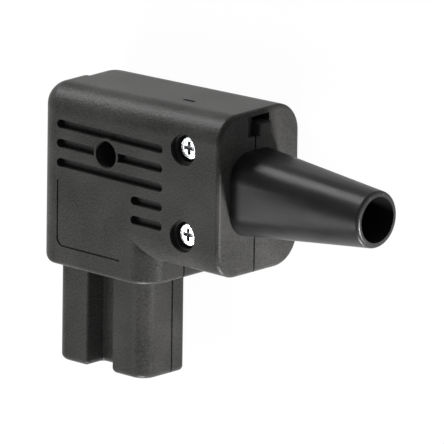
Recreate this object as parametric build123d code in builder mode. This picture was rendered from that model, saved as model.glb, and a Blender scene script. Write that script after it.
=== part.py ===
from build123d import *
import math
import os

# Right-angle appliance connector with a rewirable housing in two halves.
# It lies on its far side: x runs out of the cable exit, y away from the mating face, z up through the screws.
# The origin is the middle of the mating face, on the plane where the two halves meet. Sizes are in mm.

# How near a face or an edge lies to the place by which it is chosen
place_tolerance = 0.01

# Nose
nose_length = 24.0
nose_near_width = 8.0
nose_far_width = 8.0
nose_depth = 20.0
nose_near_corner = 3.45
nose_far_chamfer = 5.0
nose_chamfer_softening = 1.0
nose_end_rounding = 1.1
groove_width = 6.6
groove_depth = 4.7
groove_rim_rounding = 0.5
groove_floor_rounding = 0.3

# Neck above the nose
neck_left = 15.1
neck_right = 15.05
neck_right_corner = 5.5
neck_corner_radius = 4.4
neck_edge_rounding = 0.8

# Head of the housing
near_thickness = 10.65
far_thickness = 12.4
head_end_x = 33.6
head_bottom_y = 24.75
head_top_y = 57.5
head_rise_deg = 2.0
near_top_left_radius = 4.0
far_top_left_radius = 5.2
near_edge_radius = 5.4
far_edge_radius = 6.2
end_edge_rounding = 0.9
wall = 2.2
cavity_floor_y = 22.2
end_wall = 2.5

# Fine step around the outside of the parting line, everywhere but on the head's top
seam_width = 0.35
seam_depth = 0.5

# Side slots on the near face
slot_height = 1.8
slot_depth = 1.5
slot_pitch = 3.9
long_slot_length = 28.2
short_slot_length = 8.35
slots_before_screws = 5.4
top_slot_below_top = 8.85
long_slot_count = 3
short_slot_count = 2

# Engraved line around the blank marking panel
panel_from_left = 5.95
panel_from_right = 7.55
panel_above_nose = 4.1
panel_height = 13.2
panel_corner = 1.6
panel_line_width = 0.4
panel_line_depth = 0.3

# Small pry mark on the top, beside the parting line
pry_mark_length = 3.2
pry_mark_width = 0.8
pry_mark_depth = 0.5
pry_mark_from_end = 15.4
pry_mark_z = 2.6

# Housing screws and their nuts
screws_from_end = 9.5
upper_screw_below_top = 7.8
lower_screw_above_bottom = 7.5
deep_screw_x = 3.62
deep_screw_below_top = 12.75
screw_head_radius = 2.5
screw_head_height = 2.0
screw_core_radius = 1.25
screw_hole_radius = 1.6
screw_head_sink = 1.8
deep_screw_head_sink = 6.4
recess_radius = 3.25
recess_step_depth = 1.0
well_radius = 2.75
deep_boss_radius = 3.2
screw_post_radius = 4.35
cross_recess_width = 0.75
cross_recess_length = 2.6
cross_recess_depth = 1.2
cross_recess_taper = 8.0
screw_head_rounding = 0.5
head_ring_radius = 1.8
head_ring_width = 0.14
head_ring_depth = 0.1
screw_tip_chamfer = 0.3
nut_across_flats = 5.5
nut_thickness = 2.4
nut_clearance = 0.06
nut_sink = 0.4
nut_bore_clearance = 0.03
screw_tip_sink = 0.7

# Snap tongue, its window in the far end wall and the hollow beside it in the near one
tongue_length = 3.5
tongue_height = 2.4
tongue_above_midway = 0.1
tongue_proud = 1.0
tongue_rounding = 0.45
tongue_root = 1.0
tongue_hollow_depth = 1.2
tongue_hollow_radius = 2.8
window_gap_above = 1.6
window_clearance = 0.12

# Kink sleeve
sleeve_axis_below_middle = 0.0
sleeve_tip_rise = 0.6
sleeve_root_width = 14.6
sleeve_root_height = 16.9
sleeve_root_corner = 5.2
sleeve_length = 32.1
sleeve_tip_radius = 5.65
sleeve_tip_rounding = 0.7
sleeve_bore_radius = 4.6
sleeve_bore_overrun = 1.0
sleeve_gap = 0.05
sleeve_neck_width = 11.6
sleeve_neck_height = 14.6
sleeve_neck_corner = 4.0
sleeve_neck_clearance = 0.15
flange_width = 15.4
flange_height = 20.0
flange_corner = 4.0
flange_thickness = 2.2
flange_seat_gap = 0.1
flange_rib_thickness = 1.5
flange_rib_height = 24.0
flange_rib_passage = 5.2

# Contacts for the mating pins
pin_spacing = 14.0
pin_row_offset = 2.0
contact_strip = 0.6
contact_width = 4.6
contact_pinch = 1.9
contact_mouth = 2.5
contact_back_gap = 2.1
contact_start_y = 2.2
contact_pinch_y = 5.0
contact_back_below_floor = 7.2
pocket_width = 3.9
pocket_height = 5.2
entry_width = 2.6
entry_height = 4.7
entry_depth = 1.6

# Terminals
terminal_width = 5.4
terminal_length = 7.0
terminal_height = 7.0
live_terminal_above_floor = 2.0
earth_terminal_below_post = 0.4
wire_hole_radius = 1.6
wire_hole_depth = 5.0
stake_depth = 1.4
stake_gap = 0.05
terminal_screw_core_radius = 1.25
terminal_screw_length = 3.2
terminal_head_radius = 2.3
terminal_head_height = 1.6
driver_slot_width = 0.7
driver_slot_depth = 0.8
thread_gap = 0.04
terminal_screw_inset = 2.7
cradle_rib_thickness = 1.4
cradle_depth = 1.5
cradle_rib_margin = 1.1
cradle_gap = 0.08
cradle_rib_inset = 1.2

# Cord clamp
clamp_before_end_wall = 15.7
clamp_bar_length = 17.4
clamp_bar_width = 5.6
clamp_bar_thickness = 3.0
clamp_bar_bottom_z = 1.0
clamp_screw_offset = 6.3
clamp_post_radius = 2.45
clamp_screw_core_radius = 1.0
clamp_screw_length = 11.0
clamp_head_radius = 2.3
clamp_head_height = 1.7
clamp_recess_depth = 1.0
clamp_hole_radius = 1.5
clamp_tooth_width = 0.9
clamp_tooth_depth = 0.5
clamp_tooth_spacing = 2.2
saddle_width = 6.4
saddle_thickness = 1.6
saddle_radius = 4.0
saddle_drop = 2.4
clamp_hole_spare = 0.6

# Worked out from the sizes above
head_rise = math.tan(math.radians(head_rise_deg))
head_left = -neck_left
top_slot_y = head_top_y - top_slot_below_top
panel_left = head_left + panel_from_left
panel_right = neck_right - panel_from_right
panel_bottom_y = nose_depth + panel_above_nose
panel_top_y = panel_bottom_y + panel_height
pry_mark_x = head_end_x - pry_mark_from_end
screw_x = head_end_x - screws_from_end
slot_right = screw_x - slots_before_screws
upper_screw_y = head_top_y - upper_screw_below_top
lower_screw_y = head_bottom_y + lower_screw_above_bottom
deep_screw_y = head_top_y - deep_screw_below_top
sleeve_axis_y = (head_bottom_y + head_top_y) / 2 - sleeve_axis_below_middle
sleeve_root_top_y = sleeve_axis_y + sleeve_root_height / 2
tongue_y = (head_top_y + sleeve_root_top_y) / 2 + tongue_above_midway
contact_back_y = cavity_floor_y - contact_back_below_floor
live_terminal_y = cavity_floor_y + live_terminal_above_floor
earth_terminal_y = deep_screw_y - screw_post_radius - earth_terminal_below_post - terminal_length
neck_top_y = head_bottom_y + near_edge_radius + far_edge_radius
near_inner_z = near_thickness - wall
far_inner_z = -far_thickness + wall
cavity_right_x = head_end_x - end_wall
clamp_x = cavity_right_x - clamp_before_end_wall
sleeve_root_x = head_end_x + sleeve_gap
sleeve_tip_x = sleeve_root_x + sleeve_length
flange_end_x = cavity_right_x - flange_seat_gap
flange_start_x = flange_end_x - flange_thickness
flange_rib_end_x = flange_start_x - flange_seat_gap
nut_floor_z = -far_thickness + nut_sink + nut_thickness
screw_tip_z = -far_thickness + screw_tip_sink
pin_z = {"line": pin_row_offset, "neutral": pin_row_offset, "earth": -pin_row_offset}
pin_x = {"line": -pin_spacing / 2, "neutral": pin_spacing / 2, "earth": 0.0}
terminal_y = {"line": live_terminal_y, "neutral": live_terminal_y, "earth": earth_terminal_y}
housing_screws = {
    "upper": (screw_x, upper_screw_y, screw_head_sink),
    "lower": (screw_x, lower_screw_y, screw_head_sink),
    "deep": (deep_screw_x, deep_screw_y, deep_screw_head_sink),
}
shallow_points = [(screw_x, upper_screw_y), (screw_x, lower_screw_y)]
deep_point = (deep_screw_x, deep_screw_y)
window_low_y = tongue_y - tongue_height / 2 - window_clearance
window_high_y = tongue_y + tongue_height / 2 + window_gap_above
screw_points = shallow_points + [deep_point]
clamp_points = [(clamp_x, sleeve_axis_y - clamp_screw_offset), (clamp_x, sleeve_axis_y + clamp_screw_offset)]


def near_plane(z):
    return Plane.XY.offset(z)


def plan_plane(y):
    return Plane.XZ.offset(-y)


def section_plane(x):
    return Plane.YZ.offset(x)


# The sketch corner nearest to a point, in the sketch's own coordinates
def corner(sketch, u, v):
    return sketch.vertices().sort_by_distance((u, v, 0))[0]


# Edges or faces that lie at one place along an axis
def at_place(shapes, axis, place):
    return shapes.filter_by_position(axis, place - place_tolerance, place + place_tolerance)


# Edges that don't lie on the parting plane
def off_parting(edges):
    return edges.filter_by(lambda edge: abs(edge.center().Z) > place_tolerance)


# Height of the head's rising top at one place along it, less an inset
def head_top(x, inset):
    return head_top_y - head_rise * (head_end_x - x) - inset / math.cos(math.radians(head_rise_deg))


# Side outline of the head, shrunk by an inset
def head_outline(inset, right_x):
    left_x = head_left + inset
    bottom_y = head_bottom_y + inset
    with BuildSketch(Plane.XY) as outline:
        with BuildLine():
            Polyline(
                (left_x, bottom_y),
                (right_x, bottom_y),
                (right_x, head_top(right_x, inset)),
                (left_x, head_top(left_x, inset)),
                close=True,
            )
        make_face()
    return outline.sketch


# The head's top left corner, along its upright and the mitre between the two rounded rims
def round_top_left(builder, inset, outer_z, edge_radius, corner_radius):
    left_x = head_left + inset
    top_y = head_top(left_x, inset)
    mitre = edge_radius * (1 - math.sqrt(0.5))
    mitre_point = (left_x + mitre, top_y - mitre, outer_z - math.copysign(mitre, outer_z))
    upright_point = (left_x, top_y, (outer_z - math.copysign(edge_radius, outer_z)) / 2)
    chain = [builder.edges().sort_by_distance(point)[0] for point in (mitre_point, upright_point)]
    fillet(chain, radius=corner_radius)


# Plan outline of the neck on one side of the parting plane
def neck_outline(y, inset, thickness, left_radius):
    left_x = head_left + inset
    right_x = neck_right - inset
    outer_z = thickness - math.copysign(inset, thickness)
    with BuildSketch(plan_plane(y)) as outline:
        with Locations(((left_x + right_x) / 2, outer_z / 2)):
            Rectangle(right_x - left_x, abs(outer_z))
        fillet(corner(outline, left_x, outer_z), radius=left_radius - inset)
        fillet(corner(outline, right_x, outer_z), radius=neck_right_corner - inset)
    return outline.sketch


# Head and neck of one half, as a solid or as the hollow inside it
def half_body(builder, thickness, edge_radius, corner_radius, inset, right_x, floor_y):
    outer_z = thickness - math.copysign(inset, thickness)
    extrude(head_outline(inset, right_x), amount=outer_z)
    rim = at_place(builder.edges(), Axis.Z, outer_z)
    fillet(rim.sort_by(Axis.X)[:-1], radius=edge_radius - inset)
    round_top_left(builder, inset, outer_z, edge_radius - inset, corner_radius - inset)
    extrude(neck_outline(floor_y, inset, thickness, edge_radius), amount=floor_y - neck_top_y)


# Waste outside the rounded lower left corner of the neck
def cut_neck_corner(thickness):
    with BuildSketch(Plane.XY) as waste:
        with Locations((head_left, nose_depth)):
            Rectangle(neck_corner_radius, neck_corner_radius, align=(Align.MIN, Align.MIN))
        with Locations((head_left + neck_corner_radius, nose_depth + neck_corner_radius)):
            Circle(neck_corner_radius, mode=Mode.SUBTRACT)
    extrude(waste.sketch, amount=thickness, mode=Mode.SUBTRACT)


# Outside of one half: head, neck and nose
def half_outside(builder, thickness, edge_radius, corner_radius, nose):
    half_body(builder, thickness, edge_radius, corner_radius, 0, head_end_x, nose_depth)
    cut_neck_corner(thickness)
    end_rim = at_place(builder.edges(), Axis.X, head_end_x)
    fillet(off_parting(end_rim), radius=end_edge_rounding)
    neck_rim = at_place(builder.edges(), Axis.Y, nose_depth)
    fillet(off_parting(neck_rim), radius=neck_edge_rounding)
    add(nose)


def rounded_end(builder, radius):
    rim = at_place(builder.edges(), Axis.Y, 0)
    fillet(off_parting(rim), radius=radius)


# Rounded rectangle around the cable axis, on a plane across it
def around_cable(x, height, width, radius):
    with BuildSketch(section_plane(x)) as outline:
        with Locations((sleeve_axis_y, 0)):
            RectangleRounded(height, width, radius)
    return outline.sketch


# Opening in the end wall for the sleeve's neck
def cut_sleeve_passage():
    passage = around_cable(
        cavity_right_x,
        sleeve_neck_height + 2 * sleeve_neck_clearance,
        sleeve_neck_width + 2 * sleeve_neck_clearance,
        sleeve_neck_corner + sleeve_neck_clearance,
    )
    extrude(passage, amount=end_wall, mode=Mode.SUBTRACT)


# Contact pockets and their entry slots in the mating face
def cut_pockets():
    for name in pin_x:
        with BuildSketch(plan_plane(0)) as entry:
            with Locations((pin_x[name], pin_z[name])):
                Rectangle(entry_width, entry_height)
        extrude(entry.sketch, amount=-entry_depth, mode=Mode.SUBTRACT)
        with BuildSketch(plan_plane(entry_depth)) as pocket:
            with Locations((pin_x[name], pin_z[name])):
                Rectangle(pocket_width, pocket_height)
        extrude(pocket.sketch, amount=entry_depth - cavity_floor_y, mode=Mode.SUBTRACT)


# Rib across the cavity that backs the sleeve's flange, with a round passage for the cable
def flange_rib(inner_z):
    with BuildSketch(section_plane(flange_rib_end_x)) as rib:
        with Locations((sleeve_axis_y, inner_z / 2)):
            Rectangle(flange_rib_height, abs(inner_z))
        with Locations((sleeve_axis_y, 0)):
            Circle(flange_rib_passage, mode=Mode.SUBTRACT)
    extrude(rib.sketch, amount=-flange_rib_thickness)


def discs(z, points, radius):
    with BuildSketch(near_plane(z)) as sketch:
        with Locations(*points):
            Circle(radius)
    return sketch.sketch


# Fine ring and cross recess in a screw head
def cut_drive(point, head_top_z, depth):
    with BuildSketch(near_plane(head_top_z)) as ring:
        with Locations(point):
            Circle(head_ring_radius)
            Circle(head_ring_radius - head_ring_width, mode=Mode.SUBTRACT)
    extrude(ring.sketch, amount=-head_ring_depth, mode=Mode.SUBTRACT)
    with BuildSketch(near_plane(head_top_z)) as cross:
        with Locations(point):
            Rectangle(cross_recess_length, cross_recess_width)
            Rectangle(cross_recess_width, cross_recess_length)
    extrude(cross.sketch, amount=-depth, taper=cross_recess_taper, mode=Mode.SUBTRACT)


with BuildPart() as near_hollow:
    half_body(
        near_hollow,
        near_thickness,
        near_edge_radius,
        near_top_left_radius,
        wall,
        cavity_right_x,
        cavity_floor_y,
    )

with BuildPart() as far_hollow:
    half_body(
        far_hollow,
        -far_thickness,
        far_edge_radius,
        far_top_left_radius,
        wall,
        cavity_right_x,
        cavity_floor_y,
    )

with BuildPart() as near_nose:
    with BuildSketch(plan_plane(0)) as near_section:
        with Locations((0, nose_near_width / 2)):
            Rectangle(nose_length, nose_near_width)
        fillet(corner(near_section, -nose_length / 2, nose_near_width), radius=nose_near_corner)
        fillet(corner(near_section, nose_length / 2, nose_near_width), radius=nose_near_corner)
        with Locations((0, nose_near_width - groove_depth / 2)):
            Rectangle(groove_width, groove_depth, mode=Mode.SUBTRACT)
        for side in (-1, 1):
            fillet(corner(near_section, side * groove_width / 2, nose_near_width), radius=groove_rim_rounding)
            groove_foot = (side * groove_width / 2, nose_near_width - groove_depth)
            fillet(corner(near_section, *groove_foot), radius=groove_floor_rounding)
    extrude(near_section.sketch, amount=-cavity_floor_y)
    rounded_end(near_nose, nose_end_rounding)

with BuildPart() as far_nose:
    with BuildSketch(plan_plane(0)) as far_section:
        with Locations((0, -nose_far_width / 2)):
            Rectangle(nose_length, nose_far_width)
        for side in (-1, 1):
            chamfer(corner(far_section, side * nose_length / 2, -nose_far_width), length=nose_far_chamfer)
            chamfer_ends = [
                (side * nose_length / 2, nose_far_chamfer - nose_far_width),
                (side * (nose_length / 2 - nose_far_chamfer), -nose_far_width),
            ]
            for end in chamfer_ends:
                fillet(corner(far_section, *end), radius=nose_chamfer_softening)
    extrude(far_section.sketch, amount=-cavity_floor_y)
    rounded_end(far_nose, nose_end_rounding)

with BuildPart() as near_shell:
    half_outside(near_shell, near_thickness, near_edge_radius, near_top_left_radius, near_nose.part)
    # Shallow step in the parting face, which shows as a fine seam once the halves are closed
    parting_face = at_place(near_shell.faces(), Axis.Z, 0).sort_by(SortBy.AREA)[-1]
    with BuildSketch(Plane.XY) as seam:
        add(make_face(parting_face.outer_wire(), mode=Mode.PRIVATE))
        offset(amount=-seam_depth, kind=Kind.INTERSECTION, mode=Mode.SUBTRACT)
        with BuildLine():
            Polyline(
                (head_left, head_top(head_left, 2 * seam_depth)),
                (head_end_x, head_top(head_end_x, 2 * seam_depth)),
                (head_end_x, head_top(head_end_x, -seam_depth)),
                (head_left, head_top(head_left, -seam_depth)),
                close=True,
            )
        make_face(mode=Mode.SUBTRACT)
    extrude(seam.sketch, amount=seam_width, mode=Mode.SUBTRACT)
    add(near_hollow.part, mode=Mode.SUBTRACT)
    # Posts around the screws, down to the parting plane
    extrude(discs(0, screw_points, screw_post_radius), amount=near_inner_z)
    flange_rib(near_inner_z)
    # Stepped recesses and the deep well, each down to its screw's seat
    extrude(
        discs(near_thickness, shallow_points, recess_radius),
        amount=-recess_step_depth,
        mode=Mode.SUBTRACT,
    )
    extrude(
        discs(near_thickness, shallow_points, well_radius),
        amount=-screw_head_sink - screw_head_height,
        mode=Mode.SUBTRACT,
    )
    extrude(
        discs(near_thickness, [deep_point], well_radius),
        amount=-deep_screw_head_sink - screw_head_height,
        mode=Mode.SUBTRACT,
    )
    extrude(discs(0, screw_points, screw_hole_radius), amount=near_thickness, mode=Mode.SUBTRACT)
    # Side slots, interrupted by the flush ring around the deep well
    with BuildSketch(near_plane(near_thickness)) as slots:
        for row in range(long_slot_count + short_slot_count):
            length = long_slot_length if row < long_slot_count else short_slot_length
            with Locations((slot_right - length / 2, top_slot_y - row * slot_pitch)):
                SlotOverall(length, slot_height)
        with Locations(deep_point):
            Circle(deep_boss_radius, mode=Mode.SUBTRACT)
    extrude(slots.sketch, amount=-slot_depth, mode=Mode.SUBTRACT)
    # Engraved panel line
    with BuildSketch(near_plane(near_thickness)) as panel:
        with BuildLine() as panel_path:
            FilletPolyline(
                (panel_left, panel_top_y),
                (panel_left, panel_bottom_y),
                (panel_right, panel_bottom_y),
                radius=panel_corner,
            )
        trace(panel_path.line, panel_line_width)
    extrude(panel.sketch, amount=-panel_line_depth, mode=Mode.SUBTRACT)
    # Pry mark on the top
    pry_mark_y = head_top(pry_mark_x, 0)
    with BuildSketch(plan_plane(pry_mark_y - pry_mark_depth)) as pry_mark:
        with Locations((pry_mark_x, pry_mark_z)):
            SlotOverall(pry_mark_length, pry_mark_width)
    extrude(pry_mark.sketch, amount=-2 * pry_mark_depth, mode=Mode.SUBTRACT)
    cut_sleeve_passage()
    cut_pockets()
    # Hollow in the end face, and the snap tongue that reaches from it across the parting plane
    tongue_foot_x = head_end_x - tongue_hollow_depth
    tongue_outer_x = head_end_x + tongue_proud
    with BuildSketch(plan_plane(window_low_y)) as tongue_hollow:
        with Locations((tongue_foot_x + tongue_hollow_radius, 0)):
            Circle(tongue_hollow_radius)
    extrude(tongue_hollow.sketch, amount=window_low_y - window_high_y, mode=Mode.SUBTRACT)
    with BuildSketch(plan_plane(tongue_y - tongue_height / 2)) as tongue:
        with BuildLine():
            Polyline(
                (cavity_right_x, tongue_root),
                (tongue_foot_x, tongue_root),
                (tongue_foot_x, 0),
                (tongue_outer_x, 0),
                (tongue_outer_x, -tongue_length),
                (cavity_right_x, -tongue_length),
                close=True,
            )
        make_face()
        fillet(corner(tongue, tongue_outer_x, -tongue_length), radius=tongue_rounding)
        fillet(corner(tongue, tongue_outer_x, 0), radius=tongue_rounding)
    extrude(tongue.sketch, amount=-tongue_height)

with BuildPart() as far_shell:
    half_outside(far_shell, -far_thickness, far_edge_radius, far_top_left_radius, far_nose.part)
    add(far_hollow.part, mode=Mode.SUBTRACT)
    extrude(discs(0, screw_points, screw_post_radius), amount=far_inner_z)
    flange_rib(far_inner_z)
    # Posts and saddle of the cord clamp
    clamp_post_height = clamp_bar_bottom_z - far_inner_z
    extrude(discs(far_inner_z, clamp_points, clamp_post_radius), amount=clamp_post_height)
    with BuildSketch(section_plane(clamp_x - saddle_thickness / 2)) as saddle:
        with Locations((sleeve_axis_y, far_inner_z / 2)):
            Rectangle(saddle_width, -far_inner_z)
        with Locations((sleeve_axis_y, 0)):
            Circle(saddle_radius, mode=Mode.SUBTRACT)
        with Locations((sleeve_axis_y, 0)):
            Rectangle(2 * saddle_radius, 2 * saddle_drop, mode=Mode.SUBTRACT)
    extrude(saddle.sketch, amount=saddle_thickness)
    # Cradle ribs under the terminals
    for name in pin_x:
        seat_z = pin_z[name] - terminal_height / 2
        rib_top_z = seat_z + cradle_depth
        rib_low_y = terminal_y[name] + cradle_rib_inset
        rib_high_y = terminal_y[name] + terminal_length - cradle_rib_inset - cradle_rib_thickness
        for rib_y in (rib_low_y, rib_high_y):
            with BuildSketch(plan_plane(rib_y)) as cradle:
                with Locations((pin_x[name], (rib_top_z + far_inner_z) / 2)):
                    Rectangle(terminal_width + 2 * cradle_rib_margin, rib_top_z - far_inner_z)
                with Locations((pin_x[name], seat_z + cradle_depth)):
                    Rectangle(terminal_width + 2 * cradle_gap, 2 * cradle_depth, mode=Mode.SUBTRACT)
            extrude(cradle.sketch, amount=-cradle_rib_thickness)
    # Screw holes, nut pockets and clamp screw holes
    extrude(discs(0, screw_points, screw_hole_radius), amount=-far_thickness, mode=Mode.SUBTRACT)
    with BuildSketch(near_plane(-far_thickness)) as nut_pockets:
        with Locations(*screw_points):
            RegularPolygon(nut_across_flats / 2 + nut_clearance, 6, major_radius=False)
    extrude(nut_pockets.sketch, amount=nut_sink + nut_thickness, mode=Mode.SUBTRACT)
    extrude(
        discs(clamp_bar_bottom_z, clamp_points, clamp_screw_core_radius + thread_gap),
        amount=clamp_bar_thickness - clamp_screw_length - clamp_hole_spare,
        mode=Mode.SUBTRACT,
    )
    cut_sleeve_passage()
    cut_pockets()
    # Window for the snap tongue
    window_depth = tongue_length + window_clearance
    with BuildSketch(section_plane(cavity_right_x)) as window:
        with Locations(((window_low_y + window_high_y) / 2, -window_depth / 2)):
            Rectangle(window_high_y - window_low_y, window_depth)
    extrude(window.sketch, amount=end_wall, mode=Mode.SUBTRACT)

with BuildPart() as kink_sleeve:
    extrude(
        around_cable(flange_start_x, flange_height, flange_width, flange_corner),
        amount=flange_thickness,
    )
    extrude(
        around_cable(flange_start_x, sleeve_neck_height, sleeve_neck_width, sleeve_neck_corner),
        amount=sleeve_root_x - flange_start_x,
    )
    with BuildSketch(section_plane(sleeve_tip_x)) as tip:
        with Locations((sleeve_axis_y + sleeve_tip_rise, 0)):
            Circle(sleeve_tip_radius)
    root = around_cable(sleeve_root_x, sleeve_root_height, sleeve_root_width, sleeve_root_corner)
    loft([root, tip.sketch])
    fillet(kink_sleeve.edges().sort_by(Axis.X)[-1], radius=sleeve_tip_rounding)
    # Bore along the rising axis of the sleeve
    sleeve_axis = Vector(sleeve_length, sleeve_tip_rise, 0).normalized()
    sleeve_tip = Vector(sleeve_tip_x, sleeve_axis_y + sleeve_tip_rise, 0)
    bore_start = sleeve_tip + sleeve_axis * sleeve_bore_overrun
    bore_length = sleeve_tip_x - flange_start_x + 2 * sleeve_bore_overrun
    with BuildSketch(Plane(bore_start, x_dir=(0, 0, 1), z_dir=sleeve_axis)) as bore:
        Circle(sleeve_bore_radius)
    extrude(bore.sketch, amount=-bore_length, mode=Mode.SUBTRACT)

os.makedirs("parts", exist_ok=True)
finished = {
    "near_shell": near_shell,
    "far_shell": far_shell,
    "kink_sleeve": kink_sleeve,
}

# Screws and nuts that hold the halves together
for name, (x, y, sink) in housing_screws.items():
    head_top_z = near_thickness - sink
    seat_z = head_top_z - screw_head_height
    with BuildPart() as screw:
        extrude(discs(seat_z, [(x, y)], screw_head_radius), amount=screw_head_height)
        fillet(screw.edges().sort_by(Axis.Z)[-1], radius=screw_head_rounding)
        extrude(discs(seat_z, [(x, y)], screw_core_radius), amount=screw_tip_z - seat_z)
        chamfer(screw.edges().sort_by(Axis.Z)[0], length=screw_tip_chamfer)
        cut_drive((x, y), head_top_z, cross_recess_depth)
    finished[name + "_housing_screw"] = screw
    with BuildPart() as nut:
        with BuildSketch(near_plane(nut_floor_z)) as hexagon:
            with Locations((x, y)):
                RegularPolygon(nut_across_flats / 2, 6, major_radius=False)
                Circle(screw_core_radius + nut_bore_clearance, mode=Mode.SUBTRACT)
        extrude(hexagon.sketch, amount=-nut_thickness)
    finished[name + "_housing_nut"] = nut

# Contacts with their terminals
for name in pin_x:
    x = pin_x[name]
    z = pin_z[name]
    terminal_low_y = terminal_y[name]
    terminal_high_y = terminal_low_y + terminal_length
    mouth_x = (contact_mouth + contact_strip) / 2
    pinch_x = (contact_pinch + contact_strip) / 2
    back_x = (contact_back_gap + contact_strip) / 2
    tail_top_y = terminal_low_y + stake_depth - stake_gap
    with BuildPart() as contact:
        with BuildSketch(near_plane(z - contact_width / 2)) as leaves:
            with BuildLine() as strip:
                Polyline(
                    (x - mouth_x, contact_start_y),
                    (x - pinch_x, contact_pinch_y),
                    (x - back_x, contact_back_y),
                    (x + back_x, contact_back_y),
                    (x + pinch_x, contact_pinch_y),
                    (x + mouth_x, contact_start_y),
                )
            trace(strip.line, contact_strip)
            with Locations((x, (contact_back_y + tail_top_y) / 2)):
                Rectangle(contact_strip, tail_top_y - contact_back_y)
        extrude(leaves.sketch, amount=contact_width)
    finished[name + "_contact"] = contact
    top_z = z + terminal_height / 2
    clamp_y = terminal_high_y - terminal_screw_inset
    with BuildPart() as terminal:
        with BuildSketch(near_plane(z - terminal_height / 2)) as block:
            with Locations((x, (terminal_low_y + terminal_high_y) / 2)):
                Rectangle(terminal_width, terminal_length)
            with Locations((x, terminal_low_y)):
                Rectangle(contact_strip + 2 * stake_gap, 2 * stake_depth, mode=Mode.SUBTRACT)
        extrude(block.sketch, amount=terminal_height)
        with BuildSketch(plan_plane(terminal_high_y)) as wire_hole:
            with Locations((x, z)):
                Circle(wire_hole_radius)
        extrude(wire_hole.sketch, amount=wire_hole_depth, mode=Mode.SUBTRACT)
        extrude(
            discs(top_z, [(x, clamp_y)], terminal_screw_core_radius + thread_gap),
            amount=z - top_z,
            mode=Mode.SUBTRACT,
        )
    finished[name + "_terminal"] = terminal
    with BuildPart() as clamp_screw:
        extrude(discs(top_z, [(x, clamp_y)], terminal_head_radius), amount=terminal_head_height)
        extrude(discs(top_z, [(x, clamp_y)], terminal_screw_core_radius), amount=-terminal_screw_length)
        with BuildSketch(near_plane(top_z + terminal_head_height)) as driver_slot:
            with Locations((x, clamp_y)):
                Rectangle(2 * terminal_head_radius, driver_slot_width)
        extrude(driver_slot.sketch, amount=-driver_slot_depth, mode=Mode.SUBTRACT)
    finished[name + "_terminal_screw"] = clamp_screw

# Cord clamp bar and its screws
with BuildPart() as cord_clamp_bar:
    with BuildSketch(near_plane(clamp_bar_bottom_z)) as bar:
        with Locations((clamp_x, sleeve_axis_y)):
            SlotOverall(clamp_bar_length, clamp_bar_width, rotation=90)
        with Locations(*clamp_points):
            Circle(clamp_hole_radius, mode=Mode.SUBTRACT)
    extrude(bar.sketch, amount=clamp_bar_thickness)
    with BuildSketch(near_plane(clamp_bar_bottom_z)) as teeth:
        with Locations((clamp_x, sleeve_axis_y)):
            with GridLocations(clamp_tooth_spacing, 0, 2, 1):
                Rectangle(clamp_tooth_width, saddle_width)
    extrude(teeth.sketch, amount=-clamp_tooth_depth)
finished["cord_clamp_bar"] = cord_clamp_bar

clamp_top_z = clamp_bar_bottom_z + clamp_bar_thickness
for name, point in zip(("lower", "upper"), clamp_points):
    with BuildPart() as clamp_fixing:
        extrude(discs(clamp_top_z, [point], clamp_head_radius), amount=clamp_head_height)
        fillet(clamp_fixing.edges().sort_by(Axis.Z)[-1], radius=screw_head_rounding)
        extrude(discs(clamp_top_z, [point], clamp_screw_core_radius), amount=-clamp_screw_length)
        cut_drive(point, clamp_top_z + clamp_head_height, clamp_recess_depth)
    finished[name + "_clamp_screw"] = clamp_fixing

for name, piece in finished.items():
    piece.part.label = name
    export_step(piece.part, "parts/" + name + ".step")
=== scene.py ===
import bpy
import math
from mathutils import Matrix, Vector


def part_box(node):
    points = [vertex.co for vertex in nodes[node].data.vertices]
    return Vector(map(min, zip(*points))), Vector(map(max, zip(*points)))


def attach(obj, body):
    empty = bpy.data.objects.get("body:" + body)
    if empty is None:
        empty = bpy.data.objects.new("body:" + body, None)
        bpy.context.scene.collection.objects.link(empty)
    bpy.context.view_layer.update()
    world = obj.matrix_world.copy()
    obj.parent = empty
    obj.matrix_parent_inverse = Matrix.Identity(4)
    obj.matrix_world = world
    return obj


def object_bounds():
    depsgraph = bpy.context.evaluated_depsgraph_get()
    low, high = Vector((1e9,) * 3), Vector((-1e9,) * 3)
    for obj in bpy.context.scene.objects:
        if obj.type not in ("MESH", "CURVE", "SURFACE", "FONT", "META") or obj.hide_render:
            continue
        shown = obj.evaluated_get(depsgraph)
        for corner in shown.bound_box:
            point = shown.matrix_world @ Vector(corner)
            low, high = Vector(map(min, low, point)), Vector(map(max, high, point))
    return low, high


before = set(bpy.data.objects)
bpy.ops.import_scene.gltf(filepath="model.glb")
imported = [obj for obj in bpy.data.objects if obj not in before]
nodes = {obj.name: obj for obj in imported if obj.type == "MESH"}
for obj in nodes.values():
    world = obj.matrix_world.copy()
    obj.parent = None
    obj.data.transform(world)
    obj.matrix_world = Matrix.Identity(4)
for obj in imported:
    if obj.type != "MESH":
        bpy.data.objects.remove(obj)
cadLow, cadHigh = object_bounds()
print("frame loaded:", len(nodes), "nodes")


# Small helpers for materials and node trees

noiseLow, noiseHigh = 0.3, 0.7     # most values of a noise lie between these two


def newMaterial(name):
    material = bpy.data.materials.new(name)
    material.use_nodes = True
    shader = material.node_tree.nodes["Principled BSDF"]
    return material, material.node_tree, shader


def addNode(tree, kind, **values):
    node = tree.nodes.new(kind)
    for key, value in values.items():
        if hasattr(node, key):
            setattr(node, key, value)
        else:
            node.inputs[key].default_value = value
    return node


def objectPlace(tree, centre=(0, 0, 0), stretch=(1, 1, 1)):
    place = addNode(tree, "ShaderNodeTexCoord")
    mapping = addNode(tree, "ShaderNodeMapping")
    mapping.inputs["Location"].default_value = [-c * s for c, s in zip(centre, stretch)]
    mapping.inputs["Scale"].default_value = stretch
    tree.links.new(place.outputs["Object"], mapping.inputs["Vector"])
    return mapping.outputs["Vector"]


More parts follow.
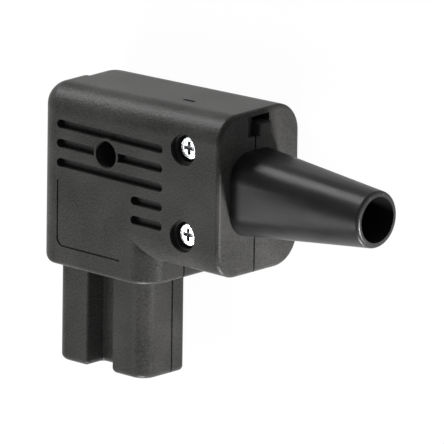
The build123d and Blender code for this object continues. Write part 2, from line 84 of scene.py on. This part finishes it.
def noiseAt(tree, vector, scale, detail, roughness=0.5):
    noise = addNode(tree, "ShaderNodeTexNoise", Scale=scale, Detail=detail, Roughness=roughness)
    tree.links.new(vector, noise.inputs["Vector"])
    return noise.outputs["Fac"]


def spread(tree, value, low, high, fromLow=noiseLow, fromHigh=noiseHigh):
    ranged = addNode(tree, "ShaderNodeMapRange")
    ranged.inputs["From Min"].default_value = fromLow
    ranged.inputs["From Max"].default_value = fromHigh
    ranged.inputs["To Min"].default_value = low
    ranged.inputs["To Max"].default_value = high
    tree.links.new(value, ranged.inputs["Value"])
    return ranged.outputs["Result"]


def blendColours(tree, value, dark, light):
    ramp = addNode(tree, "ShaderNodeValToRGB")
    ends = ramp.color_ramp.elements
    ends[0].position = noiseLow
    ends[0].color = (*dark, 1)
    ends[1].position = noiseHigh
    ends[1].color = (*light, 1)
    tree.links.new(value, ramp.inputs["Fac"])
    return ramp.outputs["Color"]


def combine(tree, first, second, operation="ADD"):
    node = addNode(tree, "ShaderNodeMath", operation=operation)
    tree.links.new(first, node.inputs[0])
    if isinstance(second, (int, float)):
        node.inputs[1].default_value = second
    else:
        tree.links.new(second, node.inputs[1])
    return node.outputs[0]


def mixShares(tree, first, firstShare, second, secondShare):
    firstPart = combine(tree, first, firstShare, "MULTIPLY")
    secondPart = combine(tree, second, secondShare, "MULTIPLY")
    return combine(tree, firstPart, secondPart)


def bumpFrom(tree, shader, height, distance, strength):
    bump = addNode(tree, "ShaderNodeBump", Strength=strength, Distance=distance)
    tree.links.new(height, bump.inputs["Height"])
    tree.links.new(bump.outputs["Normal"], shader.inputs["Normal"])


def tint(tree, shader, finish, colourBy, roughBy):
    colour = blendColours(tree, colourBy, finish["dark"], finish["light"])
    tree.links.new(colour, shader.inputs["Base Color"])
    rough = spread(tree, roughBy, finish["roughLow"], finish["roughHigh"])
    tree.links.new(rough, shader.inputs["Roughness"])


# Spark-eroded black plastic of the housing, and a dark grey one for the cord clamp

housingFinish = {
    "dark": (0.009, 0.009, 0.009),
    "light": (0.044, 0.0432, 0.0418),
    "grainScale": 3000,        # one grain is about a third of a millimetre
    "grainDetail": 3.0,
    "grainBreakup": 0.6,
    "grainShare": 0.6,         # of the mottled colour; the clouds have the rest
    "grainDepth": 0.00005,
    "grainStrength": 1.0,
    "pitScale": 2000,          # one pit is about half a millimetre
    "pitShare": 0.6,           # how deep the pits are beside the grain
    "cloudScale": 90,          # slow changes over about a centimetre
    "cloudDetail": 4.0,
    "cloudShare": 0.4,
    "roughLow": 0.28,
    "roughHigh": 0.38,
    "gloss": 0.04,
}

clampFinish = dict(
    housingFinish,
    dark=(0.03, 0.03, 0.032),
    light=(0.055, 0.055, 0.058),
)


def sparkErodedPlastic(name, finish):
    material, tree, shader = newMaterial(name)
    place = objectPlace(tree)
    grain = noiseAt(
        tree, place, finish["grainScale"], finish["grainDetail"], finish["grainBreakup"]
    )
    pits = addNode(tree, "ShaderNodeTexVoronoi", Scale=finish["pitScale"], feature="SMOOTH_F1")
    tree.links.new(place, pits.inputs["Vector"])
    clouds = noiseAt(tree, place, finish["cloudScale"], finish["cloudDetail"])
    pitDepth = combine(tree, pits.outputs["Distance"], finish["pitShare"], "MULTIPLY")
    relief = combine(tree, grain, pitDepth)
    mottle = mixShares(tree, grain, finish["grainShare"], clouds, finish["cloudShare"])
    tint(tree, shader, finish, mottle, mottle)
    shader.inputs["Specular IOR Level"].default_value = finish["gloss"]
    bumpFrom(tree, shader, relief, finish["grainDepth"], finish["grainStrength"])
    return material


# Smooth rubber of the kink sleeve, with faint flow marks along it

sleeveFinish = {
    "dark": (0.006, 0.006, 0.0062),
    "light": (0.012, 0.012, 0.0124),
    "flowScale": 1500,
    "flowStretch": (0.06, 1, 1),   # drawn out along the sleeve
    "flowDetail": 2.0,
    "flowShare": 0.4,              # of the mottled colour; the clouds have the rest
    "flowDepth": 0.000012,
    "flowStrength": 0.18,
    "cloudScale": 120,
    "cloudDetail": 3.0,
    "cloudShare": 0.6,
    "roughLow": 0.30,
    "roughHigh": 0.38,
    "gloss": 0.09,
}


def smoothRubber(name, finish):
    material, tree, shader = newMaterial(name)
    along = objectPlace(tree, stretch=finish["flowStretch"])
    flow = noiseAt(tree, along, finish["flowScale"], finish["flowDetail"])
    clouds = noiseAt(tree, objectPlace(tree), finish["cloudScale"], finish["cloudDetail"])
    mottle = mixShares(tree, flow, finish["flowShare"], clouds, finish["cloudShare"])
    tint(tree, shader, finish, mottle, clouds)
    shader.inputs["Specular IOR Level"].default_value = finish["gloss"]
    bumpFrom(tree, shader, flow, finish["flowDepth"], finish["flowStrength"])
    return material


# Plated steel of the screws and nuts, turned in rings around each piece's own axis

screwFinish = {
    "dark": (0.36, 0.37, 0.38),
    "light": (0.70, 0.71, 0.71),
    "ringScale": 2600 / 3,     # rings about 0.36 mm apart
    "ringWander": 1.5,
    "ringDetail": 2.0,
    "ringDepth": 0.000006,
    "ringStrength": 0.25,
    "speckScale": 2600,
    "speckDetail": 3.0,
    "roughLow": 0.16,
    "roughHigh": 0.30,
}


def turnedSteel(name, finish, centre):
    material, tree, shader = newMaterial(name)
    place = objectPlace(tree, centre=centre)
    around = addNode(
        tree,
        "ShaderNodeTexWave",
        wave_type="RINGS",
        rings_direction="Z",
        Scale=finish["ringScale"],
        Distortion=finish["ringWander"],
        Detail=finish["ringDetail"],
    )
    tree.links.new(place, around.inputs["Vector"])
    specks = noiseAt(tree, place, finish["speckScale"], finish["speckDetail"])
    tint(tree, shader, finish, specks, specks)
    shader.inputs["Metallic"].default_value = 1.0
    bumpFrom(tree, shader, around.outputs["Fac"], finish["ringDepth"], finish["ringStrength"])
    return material


# Brass of the contacts and terminals, with streaks along the nose

brassFinish = {
    "dark": (0.52, 0.37, 0.14),
    "light": (0.78, 0.60, 0.28),
    "streakScale": 2400,
    "streakStretch": (1, 0.05, 1),
    "streakDetail": 3.0,
    "streakDepth": 0.000008,
    "streakStrength": 0.3,
    "tarnishScale": 300,
    "tarnishDetail": 4.0,
    "roughLow": 0.24,
    "roughHigh": 0.42,
}


def drawnBrass(name, finish):
    material, tree, shader = newMaterial(name)
    along = objectPlace(tree, stretch=finish["streakStretch"])
    streaks = noiseAt(tree, along, finish["streakScale"], finish["streakDetail"])
    tarnish = noiseAt(tree, objectPlace(tree), finish["tarnishScale"], finish["tarnishDetail"])
    tint(tree, shader, finish, tarnish, streaks)
    shader.inputs["Metallic"].default_value = 1.0
    bumpFrom(tree, shader, streaks, finish["streakDepth"], finish["streakStrength"])
    return material


# Each piece gets its finish

def dress(node, material):
    slots = nodes[node].material_slots
    for slot in slots:
        slot.material = material
    if not slots:
        nodes[node].data.materials.append(material)


def centreOf(node):
    low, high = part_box(node)
    return (low + high) / 2


housingPlastic = sparkErodedPlastic("housing_plastic", housingFinish)
for half in ("near_shell", "far_shell"):
    dress(half, housingPlastic)
dress("kink_sleeve", smoothRubber("sleeve_rubber", sleeveFinish))
dress("cord_clamp_bar", sparkErodedPlastic("clamp_plastic", clampFinish))
screwSteel = {}
for node in nodes:
    if node.endswith("_screw") or node.endswith("_nut"):
        screwSteel[node] = turnedSteel(node + "_steel", screwFinish, centreOf(node))
        dress(node, screwSteel[node])
for node in nodes:
    if node.endswith("_contact") or node.endswith("_terminal"):
        dress(node, drawnBrass(node + "_brass", brassFinish))
print("finishes set")


# Screw threads, wound around the plain shanks by one node tree

threadForm = {
    "housing": {"Core radius": 0.00125, "Crest radius": 0.0015, "Pitch": 0.0005},
    "clamp": {"Core radius": 0.0010, "Crest radius": 0.0013, "Pitch": 0.0009},
    "stepsPerTurn": 24,
    "ridgeSides": 4,
    "ridgeWidth": 0.42,        # half the ridge's foot, as a share of the pitch
    "clear": 0.0004,           # plain stretch left at each end of the thread
    "headHeight": {"housing": 0.0020, "clamp": 0.0017},
}


def windThreads(form):
    tree = bpy.data.node_groups.new("screw_thread", "GeometryNodeTree")
    for name in ("Core radius", "Crest radius", "Pitch", "Length"):
        tree.interface.new_socket(name, in_out="INPUT", socket_type="NodeSocketFloat")
    tree.interface.new_socket("Foot", in_out="INPUT", socket_type="NodeSocketVector")
    tree.interface.new_socket("Steel", in_out="INPUT", socket_type="NodeSocketMaterial")
    tree.interface.new_socket("Thread", in_out="OUTPUT", socket_type="NodeSocketGeometry")
    given = addNode(tree, "NodeGroupInput").outputs
    turns = combine(tree, given["Length"], given["Pitch"], "DIVIDE")
    height = combine(tree, given["Crest radius"], given["Core radius"], "SUBTRACT")
    # The helix runs on the core and turns to the right
    helix = addNode(tree, "GeometryNodeCurveSpiral")
    helix.inputs["Resolution"].default_value = form["stepsPerTurn"]
    helix.inputs["Reverse"].default_value = True
    tree.links.new(turns, helix.inputs["Rotations"])
    tree.links.new(given["Core radius"], helix.inputs["Start Radius"])
    tree.links.new(given["Core radius"], helix.inputs["End Radius"])
    tree.links.new(given["Length"], helix.inputs["Height"])
    upright = addNode(tree, "GeometryNodeSetCurveNormal", mode="Z_UP")
    tree.links.new(helix.outputs["Curve"], upright.inputs["Curve"])
    # The ridge is a square on its corner, as high as the thread and as wide as its foot
    ridge = addNode(tree, "GeometryNodeCurvePrimitiveCircle", mode="RADIUS")
    ridge.inputs["Resolution"].default_value = form["ridgeSides"]
    ridge.inputs["Radius"].default_value = 1.0
    shaped = addNode(tree, "GeometryNodeTransform")
    size = addNode(tree, "ShaderNodeCombineXYZ")
    halfFoot = combine(tree, given["Pitch"], form["ridgeWidth"], "MULTIPLY")
    tree.links.new(height, size.inputs["X"])
    tree.links.new(halfFoot, size.inputs["Y"])
    size.inputs["Z"].default_value = 1.0
    tree.links.new(ridge.outputs["Curve"], shaped.inputs["Geometry"])
    tree.links.new(size.outputs["Vector"], shaped.inputs["Scale"])
    swept = addNode(tree, "GeometryNodeCurveToMesh")
    swept.inputs["Fill Caps"].default_value = True
    tree.links.new(upright.outputs["Curve"], swept.inputs["Curve"])
    tree.links.new(shaped.outputs["Geometry"], swept.inputs["Profile Curve"])
    placed = addNode(tree, "GeometryNodeTransform")
    tree.links.new(swept.outputs["Mesh"], placed.inputs["Geometry"])
    tree.links.new(given["Foot"], placed.inputs["Translation"])
    real = addNode(tree, "GeometryNodeRealizeInstances")
    tree.links.new(placed.outputs["Geometry"], real.inputs["Geometry"])
    finished = addNode(tree, "GeometryNodeSetMaterial")
    tree.links.new(real.outputs["Geometry"], finished.inputs["Geometry"])
    tree.links.new(given["Steel"], finished.inputs["Material"])
    result = addNode(tree, "NodeGroupOutput")
    tree.links.new(finished.outputs["Geometry"], result.inputs["Thread"])
    return tree


def threadPiece(name, tree, inputs):
    piece = bpy.data.objects.new(name, bpy.data.meshes.new(name + "_blank"))
    bpy.context.scene.collection.objects.link(piece)
    winding = piece.modifiers.new("winding", "NODES")
    winding.node_group = tree
    for socket in tree.interface.items_tree:
        if socket.in_out == "INPUT":
            winding[socket.identifier] = inputs[socket.name]
    dependencies = bpy.context.evaluated_depsgraph_get()
    wound = bpy.data.meshes.new_from_object(piece.evaluated_get(dependencies))
    wound.name = name
    piece.modifiers.clear()
    piece.data = wound
    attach(piece, "root")


threadTree = windThreads(threadForm)
gripHeight = {                 # where each screw enters the nut or post that holds it
    "upper_housing_screw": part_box("upper_housing_nut")[1].z,
    "lower_housing_screw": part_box("lower_housing_nut")[1].z,
    "deep_housing_screw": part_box("deep_housing_nut")[1].z,
    "upper_clamp_screw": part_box("cord_clamp_bar")[0].z,
    "lower_clamp_screw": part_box("cord_clamp_bar")[0].z,
}
for node, grip in gripHeight.items():
    kind = "clamp" if "clamp" in node else "housing"
    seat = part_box(node)[1].z - threadForm["headHeight"][kind] - threadForm["clear"]
    foot = centreOf(node)
    foot.z = grip + threadForm["clear"]
    threadPiece(
        node + "_thread",
        threadTree,
        dict(threadForm[kind], Length=seat - foot.z, Foot=foot, Steel=screwSteel[node]),
    )
print("threads wound:", len(gripHeight))


# Camera at the photograph's angle, from far off, rolled so that the nose points down

cameraView = {
    "azimuth": 42.8,           # degrees from the screw side towards the sleeve's tip
    "rise": 15.4,              # degrees from there towards the top, away from the nose
    "roll": 0.71,
    "distance": 4.0,
    "farthest": 20,
    "pixelsPerMetre": 5135,
    "aimed": (0.020, 0.029, 0),    # this point of the object shows at the pixel below
    "pixel": (203.6, 238.5),
    "frame": 444,
    "sensor": 36,
}


def placeCamera(view):
    side = math.radians(view["azimuth"])
    rise = math.radians(view["rise"])
    roll = math.radians(view["roll"])
    right = Vector((math.cos(side), 0, -math.sin(side)))
    back = Vector(
        (math.sin(side) * math.cos(rise), math.sin(rise), math.cos(side) * math.cos(rise))
    )
    up = back.cross(right)
    cameraRight = right * math.cos(roll) + up * math.sin(roll)
    cameraUp = up * math.cos(roll) - right * math.sin(roll)
    middle = view["frame"] / 2
    across = (middle - view["pixel"][0]) / view["pixelsPerMetre"]
    down = (middle - view["pixel"][1]) / view["pixelsPerMetre"]
    aim = Vector(view["aimed"]) + cameraRight * across - cameraUp * down
    data = bpy.data.cameras.new("camera")
    data.sensor_width = view["sensor"]
    data.lens = view["pixelsPerMetre"] * view["distance"] * view["sensor"] / view["frame"]
    data.clip_end = view["farthest"]
    camera = bpy.data.objects.new("camera", data)
    bpy.context.scene.collection.objects.link(camera)
    turned = Matrix((cameraRight, cameraUp, back)).transposed().to_4x4()
    camera.matrix_world = Matrix.Translation(aim + back * view["distance"]) @ turned
    bpy.context.scene.camera = camera


placeCamera(cameraView)
bpy.context.scene.view_settings.view_transform = "Standard"
print("camera placed")


# White surroundings, a pale floor that keeps the shadow, and soft lamps

lightPlan = {
    "white": 1.0,              # strength at which the surroundings are plain white
    "ambient": 0.25,           # strength with which they light the object
    "floorSize": 3.0,
    "floorGlow": 0.96,         # share of the floor that is plain white to the camera
    "floorColour": (0.8, 0.8, 0.8),
    "floorRoughness": 0.9,
}

lampPlan = {
    # over the head's far top corner: the sheen along the rounding
    "key": {"direction": (-0.65, 0.74, 0.18), "distance": 0.5, "size": 0.26, "power": 5.0},
    # before the screw side: the near face and the floors of its slots
    "left": {"direction": (-0.45, -0.34, 0.83), "distance": 0.25, "size": 0.10, "power": 0.36},
    # beyond the nose: its end and the head's lower side
    "low": {"direction": (0.0, -0.99, 0.17), "distance": 0.6, "size": 0.2, "power": 14.0},
    # small and close beyond the sleeve's tip: the end face, with the sleeve's shadow on it
    "right": {"direction": (0.99, -0.12, -0.08), "distance": 0.10, "size": 0.006, "power": 0.26},
}


def seenDirectly(tree):
    path = addNode(tree, "ShaderNodeLightPath")
    seen = combine(tree, path.outputs["Is Camera Ray"], path.outputs["Is Glossy Ray"], "MAXIMUM")
    return combine(tree, seen, path.outputs["Is Transmission Ray"], "MAXIMUM")


def whiteWorld(plan):
    world = bpy.data.worlds.new("surroundings")
    world.use_nodes = True
    bpy.context.scene.world = world
    tree = world.node_tree
    background = tree.nodes["Background"]
    background.inputs["Color"].default_value = (1, 1, 1, 1)
    strength = spread(tree, seenDirectly(tree), plan["ambient"], plan["white"], 0, 1)
    tree.links.new(strength, background.inputs["Strength"])


def paleFloor(plan, height):
    half = plan["floorSize"] / 2
    mesh = bpy.data.meshes.new("floor")
    corners = [(x * half, y * half, height) for x, y in ((-1, -1), (1, -1), (1, 1), (-1, 1))]
    mesh.from_pydata(corners, [], [(0, 1, 2, 3)])
    floor = bpy.data.objects.new("floor", mesh)
    bpy.context.scene.collection.objects.link(floor)
    material, tree, shader = newMaterial("floor_paper")
    shader.inputs["Base Color"].default_value = (*plan["floorColour"], 1)
    shader.inputs["Roughness"].default_value = plan["floorRoughness"]
    shader.inputs["Specular IOR Level"].default_value = 0.0
    glow = addNode(tree, "ShaderNodeEmission")
    glow.inputs["Strength"].default_value = plan["white"]
    mixed = addNode(tree, "ShaderNodeMixShader")
    share = combine(tree, seenDirectly(tree), plan["floorGlow"], "MULTIPLY")
    tree.links.new(share, mixed.inputs["Fac"])
    tree.links.new(shader.outputs["BSDF"], mixed.inputs[1])
    tree.links.new(glow.outputs["Emission"], mixed.inputs[2])
    tree.links.new(mixed.outputs["Shader"], tree.nodes["Material Output"].inputs["Surface"])
    mesh.materials.append(material)


def softLamp(name, target, plan):
    data = bpy.data.lights.new(name, "AREA")
    data.shape = "SQUARE"
    data.size = plan["size"]
    data.energy = plan["power"]
    lamp = bpy.data.objects.new(name, data)
    bpy.context.scene.collection.objects.link(lamp)
    towards = Vector(plan["direction"]).normalized()
    lamp.location = target + towards * plan["distance"]
    lamp.rotation_euler = towards.to_track_quat("Z", "Y").to_euler()


whiteWorld(lightPlan)
paleFloor(lightPlan, cadLow.z)
middle = (cadLow + cadHigh) / 2
for lampName, lamp in lampPlan.items():
    softLamp(lampName + "_lamp", middle, lamp)
print("floor and lamps placed")
